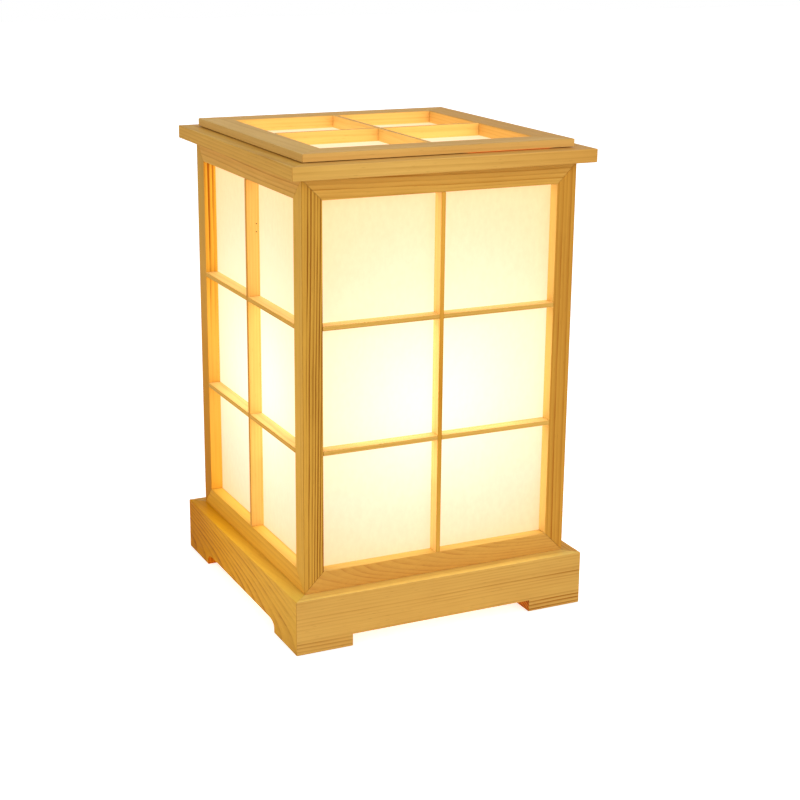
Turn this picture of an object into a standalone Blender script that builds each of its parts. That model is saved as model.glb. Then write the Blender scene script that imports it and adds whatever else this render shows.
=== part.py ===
"""Wood shade table lamp: a square lattice lantern on a notched base, with a lift-off lattice lid.

Metres, +Z up. The front faces -Y, and the origin is on the table under the middle of the lamp.
Each of the four sides is modelled as the front, under an empty that turns it into place.
"""
import math

import bmesh
import bpy
from mathutils import Vector

# Fits
SEAT_GAP = 0.0003
MITRE_GAP = 0.0002
TENON_GAP = 0.00015
THREAD_GAP = 0.0003

# Base: four mitred boards, notched between the feet, round a floor panel
BASE_WIDTH = 0.216
BASE_HEIGHT = 0.0382
BASE_BOARD = 0.020
BASE_EASE = 0.0006
FOOT_LENGTH = 0.0405
NOTCH_HEIGHT = 0.0086
NOTCH_CURVE_LENGTH = 0.009
NOTCH_CURVE_HEIGHT = 0.0045
PANEL_THICKNESS = 0.006
PANEL_GROOVE = 0.005
PANEL_DROP = 0.003
PANEL_WIRE_HOLE = 0.006

# Cord inlet in the rear board, midway between the notch and the floor panel
BUSH_BORE = 0.0032
BUSH_WALL = 0.0013
BUSH_FLANGE = 0.0022
BUSH_FLANGE_THICKNESS = 0.0016
BUSH_SETBACK = 0.0005

# Lantern: four mitred frames, each with one upright bar and two crossbars
LEDGE = 0.00975
BODY_HEIGHT = 0.2744
FRAME_FACE = 0.014
FRAME_DEPTH = 0.009
FRAME_EASE = 0.0003
BAR_WIDTH = 0.003
CELLS_HIGH = 3
TENON_LENGTH = 0.0025
TENON_SHOULDER = 0.0007
PAPER_THICKNESS = 0.0005
PAPER_OVERLAP = 0.004

# Cap: four mitred boards that overhang the lantern
CAP_OVERHANG = 0.00975
CAP_THICKNESS = 0.009
CAP_EASE = 0.0005

# Lid: four mitred rails with a tongue that drops into the cap, and a cross of bars
LID_GAP = 0.0007
LID_SETBACK = 0.0112
LID_RAIL = 0.0204
LID_LIP = 0.0051
LID_TONGUE_WIDTH = 0.005
LID_TONGUE_DEPTH = 0.0036
LID_TONGUE_PLAY = 0.0007
LID_EASE = 0.0005

# Lampholder for a standard 27 mm screw cap, fixed to the floor panel
HOLDER_FLANGE = 0.0265
HOLDER_FLANGE_THICKNESS = 0.007
HOLDER_WALL = 0.005
HOLDER_HEIGHT = 0.062
HOLDER_SOCKET_DEPTH = 0.030
HOLDER_WEB = 0.004
HOLDER_HOLLOW = 0.014
HOLDER_SCREW_HOLE = 0.0017
SHELL_WALL = 0.0006
SHELL_HEIGHT = 0.022
TONGUE_WIDTH = 0.006
TONGUE_FOOT = 0.005
TONGUE_REACH = 0.012
TONGUE_RISE = 0.0035
TONGUE_THICKNESS = 0.0005

# Bulb: pear-shaped glass on a screw cap
BULB_CAP_RADIUS = 0.0132
BULB_CAP_WALL = 0.0008
BULB_CAP_HEIGHT = 0.0225
BULB_CAP_TAPER = 0.004
INSULATOR_RADIUS = 0.0068
INSULATOR_HEIGHT = 0.003
CONTACT_RADIUS = 0.0045
CONTACT_HEIGHT = 0.0012
CONTACT_STEM = 0.002
GLOBE_RADIUS = 0.030
GLOBE_WALL = 0.001
GLOBE_TAPER_FROM = math.radians(114)
NECK_SHOWN = 0.004
NECK_HIDDEN = 0.006

TURN_STEPS = 40
GLOBE_POINTS = 16
EASE_SEGMENTS = 2
CURVE_SEGMENTS = 6
CUTTER_MARGIN = 0.005

# Places worked out from the sizes above
BODY_WIDTH = BASE_WIDTH - 2 * LEDGE
CAP_WIDTH = BODY_WIDTH + 2 * CAP_OVERHANG
LID_WIDTH = CAP_WIDTH - 2 * LID_SETBACK
LID_OPENING = LID_WIDTH - 2 * LID_RAIL
TONGUE_OUTER = LID_OPENING + 2 * LID_TONGUE_WIDTH
CAP_OPENING = TONGUE_OUTER + 2 * LID_TONGUE_PLAY
CAP_BOARD = (CAP_WIDTH - CAP_OPENING) / 2
LID_DEPTH = LID_LIP + LID_TONGUE_DEPTH

BODY_BOTTOM = BASE_HEIGHT + SEAT_GAP
BODY_TOP = BODY_BOTTOM + BODY_HEIGHT
BODY_MIDDLE = (BODY_BOTTOM + BODY_TOP) / 2
CAP_BOTTOM = BODY_TOP + SEAT_GAP
CAP_TOP = CAP_BOTTOM + CAP_THICKNESS
LIP_BOTTOM = CAP_TOP + LID_GAP
LID_TOP = LIP_BOTTOM + LID_LIP

FRAME_MIDDLE = -BODY_WIDTH / 2 + FRAME_DEPTH / 2
OPENING_WIDTH = BODY_WIDTH - 2 * FRAME_FACE
OPENING_HEIGHT = BODY_HEIGHT - 2 * FRAME_FACE
OPENING_BOTTOM = BODY_BOTTOM + FRAME_FACE
CELL_HEIGHT = (OPENING_HEIGHT - (CELLS_HIGH - 1) * BAR_WIDTH) / CELLS_HIGH

BUSH_RADIUS = BUSH_BORE + BUSH_WALL
INLET_RADIUS = BUSH_RADIUS + SEAT_GAP
PANEL_TOP = BASE_HEIGHT - PANEL_DROP
PANEL_BOTTOM = PANEL_TOP - PANEL_THICKNESS
INLET_HEIGHT = (NOTCH_HEIGHT + PANEL_BOTTOM) / 2
PANEL_WIDTH = BASE_WIDTH - 2 * BASE_BOARD + 2 * PANEL_GROOVE

SHELL_INNER = BULB_CAP_RADIUS + THREAD_GAP
SHELL_OUTER = SHELL_INNER + SHELL_WALL
SOCKET_RADIUS = SHELL_OUTER + SEAT_GAP
HOLDER_RADIUS = SOCKET_RADIUS + HOLDER_WALL
HOLDER_BOTTOM = PANEL_TOP + SEAT_GAP
SOCKET_FLOOR = HOLDER_HEIGHT - HOLDER_SOCKET_DEPTH
TONGUE_BOTTOM = HOLDER_BOTTOM + SOCKET_FLOOR + SEAT_GAP
BULB_BOTTOM = TONGUE_BOTTOM + TONGUE_RISE + TONGUE_THICKNESS + SEAT_GAP

SIDES = ("front", "right", "rear", "left")


def crossbar_heights():
    """Heights of the crossbars' middles, which split the opening into equal cells."""
    step = CELL_HEIGHT + BAR_WIDTH
    first = OPENING_BOTTOM + CELL_HEIGHT + BAR_WIDTH / 2
    return [first + step * row for row in range(CELLS_HIGH - 1)]


def clear_scene():
    for item in list(bpy.data.objects):
        bpy.data.objects.remove(item, do_unlink=True)


def collection(name):
    group = bpy.data.collections.new(name)
    bpy.context.scene.collection.children.link(group)
    return group


def linear(hex_colour):
    """Linear colour of an sRGB hex value."""
    shares = [int(hex_colour[i:i + 2], 16) / 255 for i in (0, 2, 4)]
    return [((s + 0.055) / 1.055) ** 2.4 if s > 0.04045 else s / 12.92 for s in shares] + [1.0]


def material(name, hex_colour, roughness, metallic=0.0):
    made = bpy.data.materials.new(name)
    made.use_nodes = True
    shader = made.node_tree.nodes["Principled BSDF"]
    shader.inputs["Base Color"].default_value = linear(hex_colour)
    shader.inputs["Roughness"].default_value = roughness
    shader.inputs["Metallic"].default_value = metallic
    return made


def empty(name, parent=None, location=(0, 0, 0), turn=0.0):
    made = bpy.data.objects.new(name, None)
    parts.objects.link(made)
    made.parent = parent
    made.location = location
    made.rotation_euler.z = turn
    return made


def cut(piece, tools):
    for tool in tools:
        boolean = piece.modifiers.new(tool.name, "BOOLEAN")
        boolean.operation = "DIFFERENCE"
        boolean.solver = "EXACT"
        boolean.object = tool


def place(name, mesh, parent, location, finish, tools=()):
    """A named piece at its place, with the cutters that shape it."""
    made = bpy.data.objects.new(name, mesh)
    parts.objects.link(made)
    made.parent = parent
    made.location = location
    mesh.materials.append(finish)
    cut(made, tools)
    return made


def cutter(name, mesh, parent=None, location=(0, 0, 0)):
    made = bpy.data.objects.new(name, mesh)
    cutters.objects.link(made)
    made.parent = parent
    made.location = location
    made.hide_render = True
    made.display_type = "WIRE"
    return made


def as_mesh(name, shape):
    bmesh.ops.recalc_face_normals(shape, faces=shape.faces)
    mesh = bpy.data.meshes.new(name)
    shape.to_mesh(mesh)
    shape.free()
    return mesh


def edges_along(shape, axis):
    """Edges that run along one axis only."""
    runs = [(edge, edge.verts[1].co - edge.verts[0].co) for edge in shape.edges]
    return [edge for edge, run in runs if abs(run[axis]) > 0.999 * run.length]


def block(size, eased_axis=None, ease=0.0):
    """A cuboid about its own middle, with the edges along one axis eased."""
    shape = bmesh.new()
    bmesh.ops.create_cube(shape, size=1.0)
    bmesh.ops.scale(shape, vec=size, verts=shape.verts)
    if ease:
        long_edges = edges_along(shape, eased_axis)
        bmesh.ops.bevel(shape, geom=long_edges, offset=ease, segments=EASE_SEGMENTS, profile=0.5, affect="EDGES")
    return shape


def block_between(low, high):
    """A cuboid between two corners."""
    low, high = Vector(low), Vector(high)
    shape = block(high - low)
    bmesh.ops.translate(shape, vec=(low + high) / 2, verts=shape.verts)
    return shape


def trim(shape, point, normal):
    """Saws off what lies beyond a plane and closes the sawn end."""
    geometry = shape.verts[:] + shape.edges[:] + shape.faces[:]
    sawn = bmesh.ops.bisect_plane(shape, geom=geometry, plane_co=point, plane_no=normal, clear_outer=True)
    rim = [item for item in sawn["geom_cut"] if isinstance(item, bmesh.types.BMEdge)]
    bmesh.ops.edgeloop_fill(shape, edges=rim)


def mitre_in_plan(shape, middle):
    """Saws both ends of a side's piece to the lamp's diagonals, half a mitre gap short of them."""
    for end in (-1, 1):
        normal = Vector((end, 1, 0)).normalized()
        trim(shape, normal * -MITRE_GAP / 2 - middle, normal)


def mitre_in_face(shape, middle, end, level, normal):
    """Saws a frame member to the diagonal of its frame's corner, half a mitre gap short of it."""
    corner = Vector((end * BODY_WIDTH / 2, 0, BODY_BOTTOM if level < 0 else BODY_TOP))
    normal = Vector(normal).normalized()
    trim(shape, corner + normal * -MITRE_GAP / 2 - middle, normal)


def turned(name, profile, parent, location, finish, closed=False, tools=()):
    """A piece spun about its own Z axis from (radius, height) points that run down its outer side."""
    ends = [(i, i + 1) for i in range(len(profile) - 1)]
    if closed:
        ends.append((len(profile) - 1, 0))
    mesh = bpy.data.meshes.new(name)
    mesh.from_pydata([(radius, 0, height) for radius, height in profile], ends, [])
    made = place(name, mesh, parent, location, finish)
    spin = made.modifiers.new("spin", "SCREW")
    spin.steps = TURN_STEPS
    spin.render_steps = TURN_STEPS
    spin.use_merge_vertices = True
    spin.merge_threshold = 0.00001
    spin.use_smooth_shade = True
    cut(made, tools)
    return made


def bar(length, axis, depth_axis, depth):
    """A lattice bar with a shouldered stub tenon on each end; length is from shoulder to shoulder."""
    size = Vector((BAR_WIDTH, BAR_WIDTH, BAR_WIDTH))
    size[axis] = length
    size[depth_axis] = depth
    shape = block(size)
    ends = [face for face in shape.faces if abs(face.normal[axis]) > 0.9]
    for end in ends:
        outward = end.normal.copy()
        bmesh.ops.inset_individual(shape, faces=[end], thickness=TENON_SHOULDER, use_even_offset=True)
        grown = bmesh.ops.extrude_discrete_faces(shape, faces=[end])["faces"]
        bmesh.ops.translate(shape, vec=outward * TENON_LENGTH, verts=grown[0].verts)
    return shape


def mortise_block(length, axis, depth_axis, depth):
    """The pocket for both tenons of a bar, as one long block with clearance all round."""
    size = Vector((BAR_WIDTH, BAR_WIDTH, BAR_WIDTH))
    size[depth_axis] = depth
    shrink = 2 * (TENON_SHOULDER - TENON_GAP)
    size = size - Vector((shrink, shrink, shrink))
    size[axis] = length + 2 * (TENON_LENGTH + TENON_GAP)
    return block(size)


def joined(shapes):
    """Several shapes that stand apart, as one cutter's shape."""
    whole = bmesh.new()
    for shape in shapes:
        mesh = as_mesh("joined", shape)
        whole.from_mesh(mesh)
        bpy.data.meshes.remove(mesh)
    return whole


def moved(shape, offset):
    bmesh.ops.translate(shape, vec=offset, verts=shape.verts)
    return shape


def cord_inlet(side):
    """The cutter for the cord's hole through a base board."""
    shape = bmesh.new()
    length = BASE_BOARD + 2 * CUTTER_MARGIN
    bmesh.ops.create_cone(shape, cap_ends=True, segments=TURN_STEPS, radius1=INLET_RADIUS,
                          radius2=INLET_RADIUS, depth=length)
    made = cutter("cord_inlet", as_mesh("cord_inlet", shape), side)
    made.rotation_euler.x = math.pi / 2
    made.location = (0, -BASE_WIDTH / 2 + BASE_BOARD / 2, INLET_HEIGHT)
    return made


def foot_notch(name, side):
    """The cutter for the notch between a board's feet; the side boards' notches curve down to their feet.

    The curve is a quarter of an ellipse: a round corner, stretched along the board.
    """
    half = BASE_WIDTH / 2 - FOOT_LENGTH
    stretch = NOTCH_CURVE_LENGTH / NOTCH_CURVE_HEIGHT
    shape = block_between((-half / stretch, -CUTTER_MARGIN, -CUTTER_MARGIN),
                          (half / stretch, BASE_BOARD + CUTTER_MARGIN, NOTCH_HEIGHT))
    if name in ("left", "right"):
        rims = [e for e in edges_along(shape, 1) if e.verts[0].co.z > 0]
        bmesh.ops.bevel(shape, geom=rims, offset=NOTCH_CURVE_HEIGHT, segments=CURVE_SEGMENTS, profile=0.5,
                        affect="EDGES")
    bmesh.ops.scale(shape, vec=(stretch, 1, 1), verts=shape.verts)
    return cutter(name + "_notch", as_mesh(name + "_notch", shape), side, (0, -BASE_WIDTH / 2, 0))


def base_board(name, side, groove, finish):
    middle = Vector((0, -BASE_WIDTH / 2 + BASE_BOARD / 2, BASE_HEIGHT / 2))
    shape = block((BASE_WIDTH, BASE_BOARD, BASE_HEIGHT), 0, BASE_EASE)
    mitre_in_plan(shape, middle)
    tools = [foot_notch(name, side), groove]
    if name == "rear":
        tools.append(cord_inlet(side))
    label = "base_board_" + name
    place(label, as_mesh(label, shape), side, middle, finish, tools)


def base_floor(finish):
    """The floor panel, held in grooves, with a hole for the wires under the lampholder."""
    shape = bmesh.new()
    bmesh.ops.create_cone(shape, cap_ends=True, segments=TURN_STEPS, radius1=PANEL_WIRE_HOLE,
                          radius2=PANEL_WIRE_HOLE, depth=PANEL_THICKNESS + 2 * CUTTER_MARGIN)
    middle = Vector((0, 0, PANEL_BOTTOM + PANEL_THICKNESS / 2))
    wire_hole = cutter("wire_hole", as_mesh("wire_hole", shape), location=middle)
    panel = block((PANEL_WIDTH, PANEL_WIDTH, PANEL_THICKNESS))
    place("base_floor_panel", as_mesh("base_floor_panel", panel), None, middle, finish, [wire_hole])


def floor_groove():
    """The cutter for the boards' grooves: the floor panel with clearance."""
    width = PANEL_WIDTH + 2 * SEAT_GAP
    shape = block((width, width, PANEL_THICKNESS + 2 * SEAT_GAP))
    middle = (0, 0, PANEL_BOTTOM + PANEL_THICKNESS / 2)
    return cutter("floor_groove", as_mesh("floor_groove", shape), location=middle)


def cord_bush(side, finish):
    """A bush in the inlet, pushed in from inside until its flange meets the board."""
    flange = BUSH_RADIUS + BUSH_FLANGE
    mouth = BASE_BOARD - BUSH_SETBACK
    back = -SEAT_GAP - BUSH_FLANGE_THICKNESS
    profile = [
        (BUSH_BORE, mouth), (BUSH_RADIUS, mouth), (BUSH_RADIUS, -SEAT_GAP), (flange, -SEAT_GAP),
        (flange, back), (BUSH_BORE, back),
    ]
    inner_face = (0, -BASE_WIDTH / 2 + BASE_BOARD, INLET_HEIGHT)
    made = turned("cord_bush", profile, side, inner_face, finish, closed=True)
    made.rotation_euler.x = math.pi / 2


def frame_stile(name, side, end, mortises, finish):
    middle = Vector((end * (BODY_WIDTH - FRAME_FACE) / 2, FRAME_MIDDLE, BODY_MIDDLE))
    shape = block((FRAME_FACE, FRAME_DEPTH, BODY_HEIGHT), 2, FRAME_EASE)
    mitre_in_plan(shape, middle)
    for level in (-1, 1):
        mitre_in_face(shape, middle, end, level, (-end, 0, level))
    label = f"{name}_stile_{'left' if end < 0 else 'right'}"
    place(label, as_mesh(label, shape), side, middle, finish, [mortises])


def frame_rail(name, side, level, mortises, finish):
    height = BODY_MIDDLE + level * (BODY_HEIGHT - FRAME_FACE) / 2
    middle = Vector((0, FRAME_MIDDLE, height))
    shape = block((BODY_WIDTH, FRAME_DEPTH, FRAME_FACE), 0, FRAME_EASE)
    mitre_in_plan(shape, middle)
    for end in (-1, 1):
        mitre_in_face(shape, middle, end, level, (end, 0, -level))
    label = f"{name}_rail_{'bottom' if level < 0 else 'top'}"
    place(label, as_mesh(label, shape), side, middle, finish, [mortises])


def side_frame(name, side, finish):
    """Two stiles and two rails, mitred in the face and along the lamp's corners, with the bars' mortises."""
    across = [moved(mortise_block(OPENING_WIDTH, 0, 1, FRAME_DEPTH), (0, FRAME_MIDDLE, height))
              for height in crossbar_heights()]
    stile_mortises = cutter(name + "_stile_mortises", as_mesh("stile_mortises", joined(across)), side)
    upright = moved(mortise_block(OPENING_HEIGHT, 2, 1, FRAME_DEPTH), (0, FRAME_MIDDLE, BODY_MIDDLE))
    rail_mortises = cutter(name + "_rail_mortises", as_mesh("rail_mortises", upright), side)
    for end in (-1, 1):
        frame_stile(name, side, end, stile_mortises, finish)
    for level in (-1, 1):
        frame_rail(name, side, level, rail_mortises, finish)


def side_lattice(name, side, finish):
    """One upright bar, whole in front, half-lapped over two crossbars that are whole behind."""
    front = -BODY_WIDTH / 2
    half = BAR_WIDTH / 2 + TENON_GAP
    heights = crossbar_heights()
    behind = [block_between((-BAR_WIDTH, FRAME_MIDDLE - TENON_GAP, height - half),
                            (BAR_WIDTH, front + FRAME_DEPTH + CUTTER_MARGIN, height + half))
              for height in heights]
    upright_laps = cutter(name + "_upright_laps", as_mesh("upright_laps", joined(behind)), side)
    before = block_between((-half, front - CUTTER_MARGIN, BODY_BOTTOM),
                           (half, FRAME_MIDDLE + TENON_GAP, BODY_TOP))
    crossbar_laps = cutter(name + "_crossbar_laps", as_mesh("crossbar_laps", before), side)

    label = name + "_bar_upright"
    shape = bar(OPENING_HEIGHT - 2 * TENON_GAP, 2, 1, FRAME_DEPTH)
    place(label, as_mesh(label, shape), side, (0, FRAME_MIDDLE, BODY_MIDDLE), finish, [upright_laps])
    for row, height in enumerate(heights):
        label = f"{name}_crossbar_{row + 1}"
        shape = bar(OPENING_WIDTH - 2 * TENON_GAP, 0, 1, FRAME_DEPTH)
        place(label, as_mesh(label, shape), side, (0, FRAME_MIDDLE, height), finish, [crossbar_laps])


def side_paper(name, side, finish):
    """The screen glued behind the frame and the lattice."""
    size = (OPENING_WIDTH + 2 * PAPER_OVERLAP, PAPER_THICKNESS, OPENING_HEIGHT + 2 * PAPER_OVERLAP)
    depth = -BODY_WIDTH / 2 + FRAME_DEPTH + SEAT_GAP + PAPER_THICKNESS / 2
    label = name + "_paper"
    place(label, as_mesh(label, block(size)), side, (0, depth, BODY_MIDDLE), finish)


def cap_board(name, side, finish):
    middle = Vector((0, -CAP_WIDTH / 2 + CAP_BOARD / 2, CAP_BOTTOM + CAP_THICKNESS / 2))
    shape = block((CAP_WIDTH, CAP_BOARD, CAP_THICKNESS), 0, CAP_EASE)
    mitre_in_plan(shape, middle)
    label = "cap_board_" + name
    place(label, as_mesh(label, shape), side, middle, finish)


def lid_rail(name, side, mortises, finish):
    """A mitred lid rail: a lip that rests on the cap, and a tongue that drops into its opening."""
    middle = Vector((0, -LID_WIDTH / 2 + LID_RAIL / 2, -LID_DEPTH / 2))
    shape = block((LID_WIDTH, LID_RAIL, LID_DEPTH), 0, LID_EASE)
    mitre_in_plan(shape, middle)
    under_lip = block_between((-LID_WIDTH, -LID_WIDTH / 2 - CUTTER_MARGIN, -LID_DEPTH - CUTTER_MARGIN),
                              (LID_WIDTH, -TONGUE_OUTER / 2, -LID_LIP))
    rebate = cutter(name + "_lid_rebate", as_mesh("lid_rebate", under_lip), side)
    label = "lid_rail_" + name
    place(label, as_mesh(label, shape), side, middle, finish, [rebate, mortises])


def lid_lattice(lid, finish):
    """Two crossing bars, half-lapped: the one from front to rear is whole on top. Gives back the mortises."""
    half = BAR_WIDTH / 2 + TENON_GAP
    level = -LID_DEPTH / 2
    length = LID_OPENING - 2 * TENON_GAP
    below = block_between((-half, -half, -LID_DEPTH - CUTTER_MARGIN), (half, half, level + TENON_GAP))
    above = block_between((-half, -half, level - TENON_GAP), (half, half, CUTTER_MARGIN))
    laps = {
        "lid_bar_deep": cutter("lid_lap_below", as_mesh("lid_lap_below", below), lid),
        "lid_bar_across": cutter("lid_lap_above", as_mesh("lid_lap_above", above), lid),
    }
    mortises = {}
    for label, axis in (("lid_bar_across", 0), ("lid_bar_deep", 1)):
        shape = bar(length, axis, 2, LID_DEPTH)
        place(label, as_mesh(label, shape), lid, (0, 0, level), finish, [laps[label]])
        pocket = mortise_block(LID_OPENING, axis, 2, LID_DEPTH)
        mortises[axis] = cutter(label + "_mortises", as_mesh(label + "_mortises", pocket), lid, (0, 0, level))
    return mortises


def lid_paper(lid, finish):
    """The screen glued under the lid's tongue and bars."""
    width = TONGUE_OUTER - 2 * LID_EASE
    level = -LID_DEPTH - SEAT_GAP - PAPER_THICKNESS / 2
    shape = block((width, width, PAPER_THICKNESS))
    place("lid_paper", as_mesh("lid_paper", shape), lid, (0, 0, level), finish)


def lampholder(porcelain, brass):
    """A porcelain holder screwed to the floor panel, with its threaded shell and contact tongue."""
    flange = HOLDER_FLANGE_THICKNESS
    ceiling = SOCKET_FLOOR - HOLDER_WEB
    profile = [
        (0, SOCKET_FLOOR), (SOCKET_RADIUS, SOCKET_FLOOR), (SOCKET_RADIUS, HOLDER_HEIGHT),
        (HOLDER_RADIUS, HOLDER_HEIGHT), (HOLDER_RADIUS, flange), (HOLDER_FLANGE, flange),
        (HOLDER_FLANGE, 0), (HOLDER_HOLLOW, 0), (HOLDER_HOLLOW, ceiling), (0, ceiling),
    ]
    base = (0, 0, HOLDER_BOTTOM)
    holes = []
    for end in (-1, 1):
        shape = bmesh.new()
        bmesh.ops.create_cone(shape, cap_ends=True, segments=16, radius1=HOLDER_SCREW_HOLE,
                              radius2=HOLDER_SCREW_HOLE, depth=flange + 2 * CUTTER_MARGIN)
        holes.append(moved(shape, (end * (HOLDER_RADIUS + HOLDER_FLANGE) / 2, 0, flange / 2)))
    screw_holes = cutter("holder_screw_holes", as_mesh("holder_screw_holes", joined(holes)), location=base)
    turned("lampholder_body", profile, None, base, porcelain, tools=[screw_holes])

    shell = [(SHELL_OUTER, SHELL_HEIGHT), (SHELL_OUTER, 0), (SHELL_INNER, 0), (SHELL_INNER, SHELL_HEIGHT)]
    turned("lampholder_shell", shell, None, (0, 0, TONGUE_BOTTOM), brass, closed=True)

    chain = bmesh.new()
    start = -TONGUE_REACH / 2 - TONGUE_FOOT / 2
    bend = start + TONGUE_FOOT
    route = [(start, 0), (bend, 0), (bend + TONGUE_RISE, TONGUE_RISE), (bend + TONGUE_REACH, TONGUE_RISE)]
    points = [chain.verts.new((x, -TONGUE_WIDTH / 2, z)) for x, z in route]
    links = [chain.edges.new(pair) for pair in zip(points, points[1:])]
    ribbon = bmesh.ops.extrude_edge_only(chain, edges=links)["geom"]
    far_side = [item for item in ribbon if isinstance(item, bmesh.types.BMVert)]
    bmesh.ops.translate(chain, vec=(0, TONGUE_WIDTH, 0), verts=far_side)
    seat = (0, 0, TONGUE_BOTTOM + TONGUE_THICKNESS / 2)
    tongue = place("lampholder_tongue", as_mesh("lampholder_tongue", chain), None, seat, brass)
    sheet = tongue.modifiers.new("sheet", "SOLIDIFY")
    sheet.thickness = TONGUE_THICKNESS
    sheet.offset = 0.0


def globe_outline(radius, neck, middle, neck_end):
    """Half a globe's outline, from its pole to a tangent taper and a straight neck."""
    steps = [GLOBE_TAPER_FROM * i / (GLOBE_POINTS - 1) for i in range(GLOBE_POINTS)]
    points = [(radius * math.sin(a), middle + radius * math.cos(a)) for a in steps]
    run = (neck - points[-1][0]) / math.cos(GLOBE_TAPER_FROM)
    taper_end = points[-1][1] - run * math.sin(GLOBE_TAPER_FROM)
    return points + [(neck, taper_end), (neck, neck_end)]


def bulb(axis, glass, metal, black, brass):
    """The bulb, about its own axis, from its contact's tip upwards."""
    insulator_bottom = CONTACT_HEIGHT + SEAT_GAP
    cap_bottom = insulator_bottom + SEAT_GAP
    cap_top = cap_bottom + BULB_CAP_HEIGHT
    taper_top = cap_bottom + BULB_CAP_TAPER
    mouth = INSULATOR_RADIUS + SEAT_GAP
    lining = BULB_CAP_RADIUS - BULB_CAP_WALL
    cap = [
        (BULB_CAP_RADIUS, cap_top), (BULB_CAP_RADIUS, taper_top), (mouth + BULB_CAP_WALL, cap_bottom),
        (mouth, cap_bottom), (lining, taper_top), (lining, cap_top),
    ]
    turned("bulb_cap", cap, axis, (0, 0, 0), metal, closed=True)

    bore = CONTACT_STEM + SEAT_GAP
    insulator_top = insulator_bottom + INSULATOR_HEIGHT
    ring = [
        (INSULATOR_RADIUS, insulator_top), (INSULATOR_RADIUS, insulator_bottom),
        (bore, insulator_bottom), (bore, insulator_top),
    ]
    turned("bulb_insulator", ring, axis, (0, 0, 0), black, closed=True)
    stud = [
        (0, insulator_top), (CONTACT_STEM, insulator_top), (CONTACT_STEM, CONTACT_HEIGHT),
        (CONTACT_RADIUS, CONTACT_HEIGHT), (CONTACT_RADIUS, CONTACT_HEIGHT / 2), (CONTACT_STEM, 0), (0, 0),
    ]
    turned("bulb_contact", stud, axis, (0, 0, 0), brass)

    neck = lining - SEAT_GAP
    run = (neck - GLOBE_RADIUS * math.sin(GLOBE_TAPER_FROM)) / math.cos(GLOBE_TAPER_FROM)
    drop = GLOBE_RADIUS * math.cos(GLOBE_TAPER_FROM) - run * math.sin(GLOBE_TAPER_FROM)
    middle = cap_top + NECK_SHOWN - drop
    neck_end = cap_top - NECK_HIDDEN
    outside = globe_outline(GLOBE_RADIUS, neck, middle, neck_end)
    inside = globe_outline(GLOBE_RADIUS - GLOBE_WALL, neck - GLOBE_WALL, middle, neck_end)
    turned("bulb_globe", outside + inside[::-1], axis, (0, 0, 0), glass)


clear_scene()
parts = collection("wood_shade_table_lamp")
cutters = collection("cutters")

pine = material("pine", "D6A350", 0.45)
pine_bar = material("pine_bar", "CF9440", 0.5)
plywood = material("plywood", "C9A675", 0.6)
paper = material("paper", "FFF1CF", 0.8)
rubber = material("black_rubber", "1C1B1A", 0.6)
porcelain_white = material("porcelain", "F1EEE6", 0.25)
brass_sheet = material("brass", "C9A24E", 0.3, 1.0)
frosted_glass = material("frosted_glass", "FFF6E4", 0.5)
cap_metal = material("cap_metal", "C4C6C8", 0.3, 1.0)

shared_groove = floor_groove()
base_floor(plywood)
lid_seat = empty("lid_seat", location=(0, 0, LID_TOP))
lid_mortises = lid_lattice(lid_seat, pine_bar)
lid_paper(lid_seat, paper)
for number, side_name in enumerate(SIDES):
    quarter_turn = number * math.pi / 2
    side_empty = empty(side_name + "_side", turn=quarter_turn)
    base_board(side_name, side_empty, shared_groove, pine)
    side_frame(side_name, side_empty, pine)
    side_lattice(side_name, side_empty, pine_bar)
    side_paper(side_name, side_empty, paper)
    cap_board(side_name, side_empty, pine)
    lid_side = empty(side_name + "_lid_side", lid_seat, turn=quarter_turn)
    bar_axis = 1 if side_name in ("front", "rear") else 0
    lid_rail(side_name, lid_side, lid_mortises[bar_axis], pine)
    if side_name == "rear":
        cord_bush(side_empty, rubber)

lampholder(porcelain_white, brass_sheet)
bulb_axis = empty("bulb_axis", location=(0, 0, BULB_BOTTOM))
bulb(bulb_axis, frosted_glass, cap_metal, rubber, brass_sheet)
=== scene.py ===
"""Looks of the wood shade table lamp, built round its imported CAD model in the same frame, in metres."""
import math

import bpy
import numpy as np
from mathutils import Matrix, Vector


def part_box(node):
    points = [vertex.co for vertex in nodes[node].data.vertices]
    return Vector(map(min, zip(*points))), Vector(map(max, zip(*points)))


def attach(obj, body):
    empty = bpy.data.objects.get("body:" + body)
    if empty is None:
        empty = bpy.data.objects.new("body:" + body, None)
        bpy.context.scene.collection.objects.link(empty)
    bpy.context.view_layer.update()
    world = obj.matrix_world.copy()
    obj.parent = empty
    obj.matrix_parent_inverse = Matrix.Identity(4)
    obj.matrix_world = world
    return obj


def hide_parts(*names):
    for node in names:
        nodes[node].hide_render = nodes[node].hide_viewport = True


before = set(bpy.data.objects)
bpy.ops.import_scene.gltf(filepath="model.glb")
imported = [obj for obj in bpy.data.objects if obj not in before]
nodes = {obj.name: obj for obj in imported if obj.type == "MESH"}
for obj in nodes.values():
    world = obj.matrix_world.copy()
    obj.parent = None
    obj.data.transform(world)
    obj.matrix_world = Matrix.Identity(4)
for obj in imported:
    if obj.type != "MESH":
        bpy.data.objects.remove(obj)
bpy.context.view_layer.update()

# Base boards
# Four planed pine boards, mitred at the corners and notched from below so that each stands on its two ends.
# They are glued at the mitres and rubbed with a thin wax, which leaves the growth rings in sight.
MM = 0.001
SIDES = ("front", "right", "rear", "left")
GRAIN_TURNS = {"x": (0, 90, 0), "y": (-90, 0, 0), "z": (0, 0, 0)}
GRAIN_AXES = {"x": (1, 0, 0), "y": (0, 1, 0), "z": (0, 0, 1)}
CANAL_SIZE = (1.6, 1.6, 14)


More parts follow.
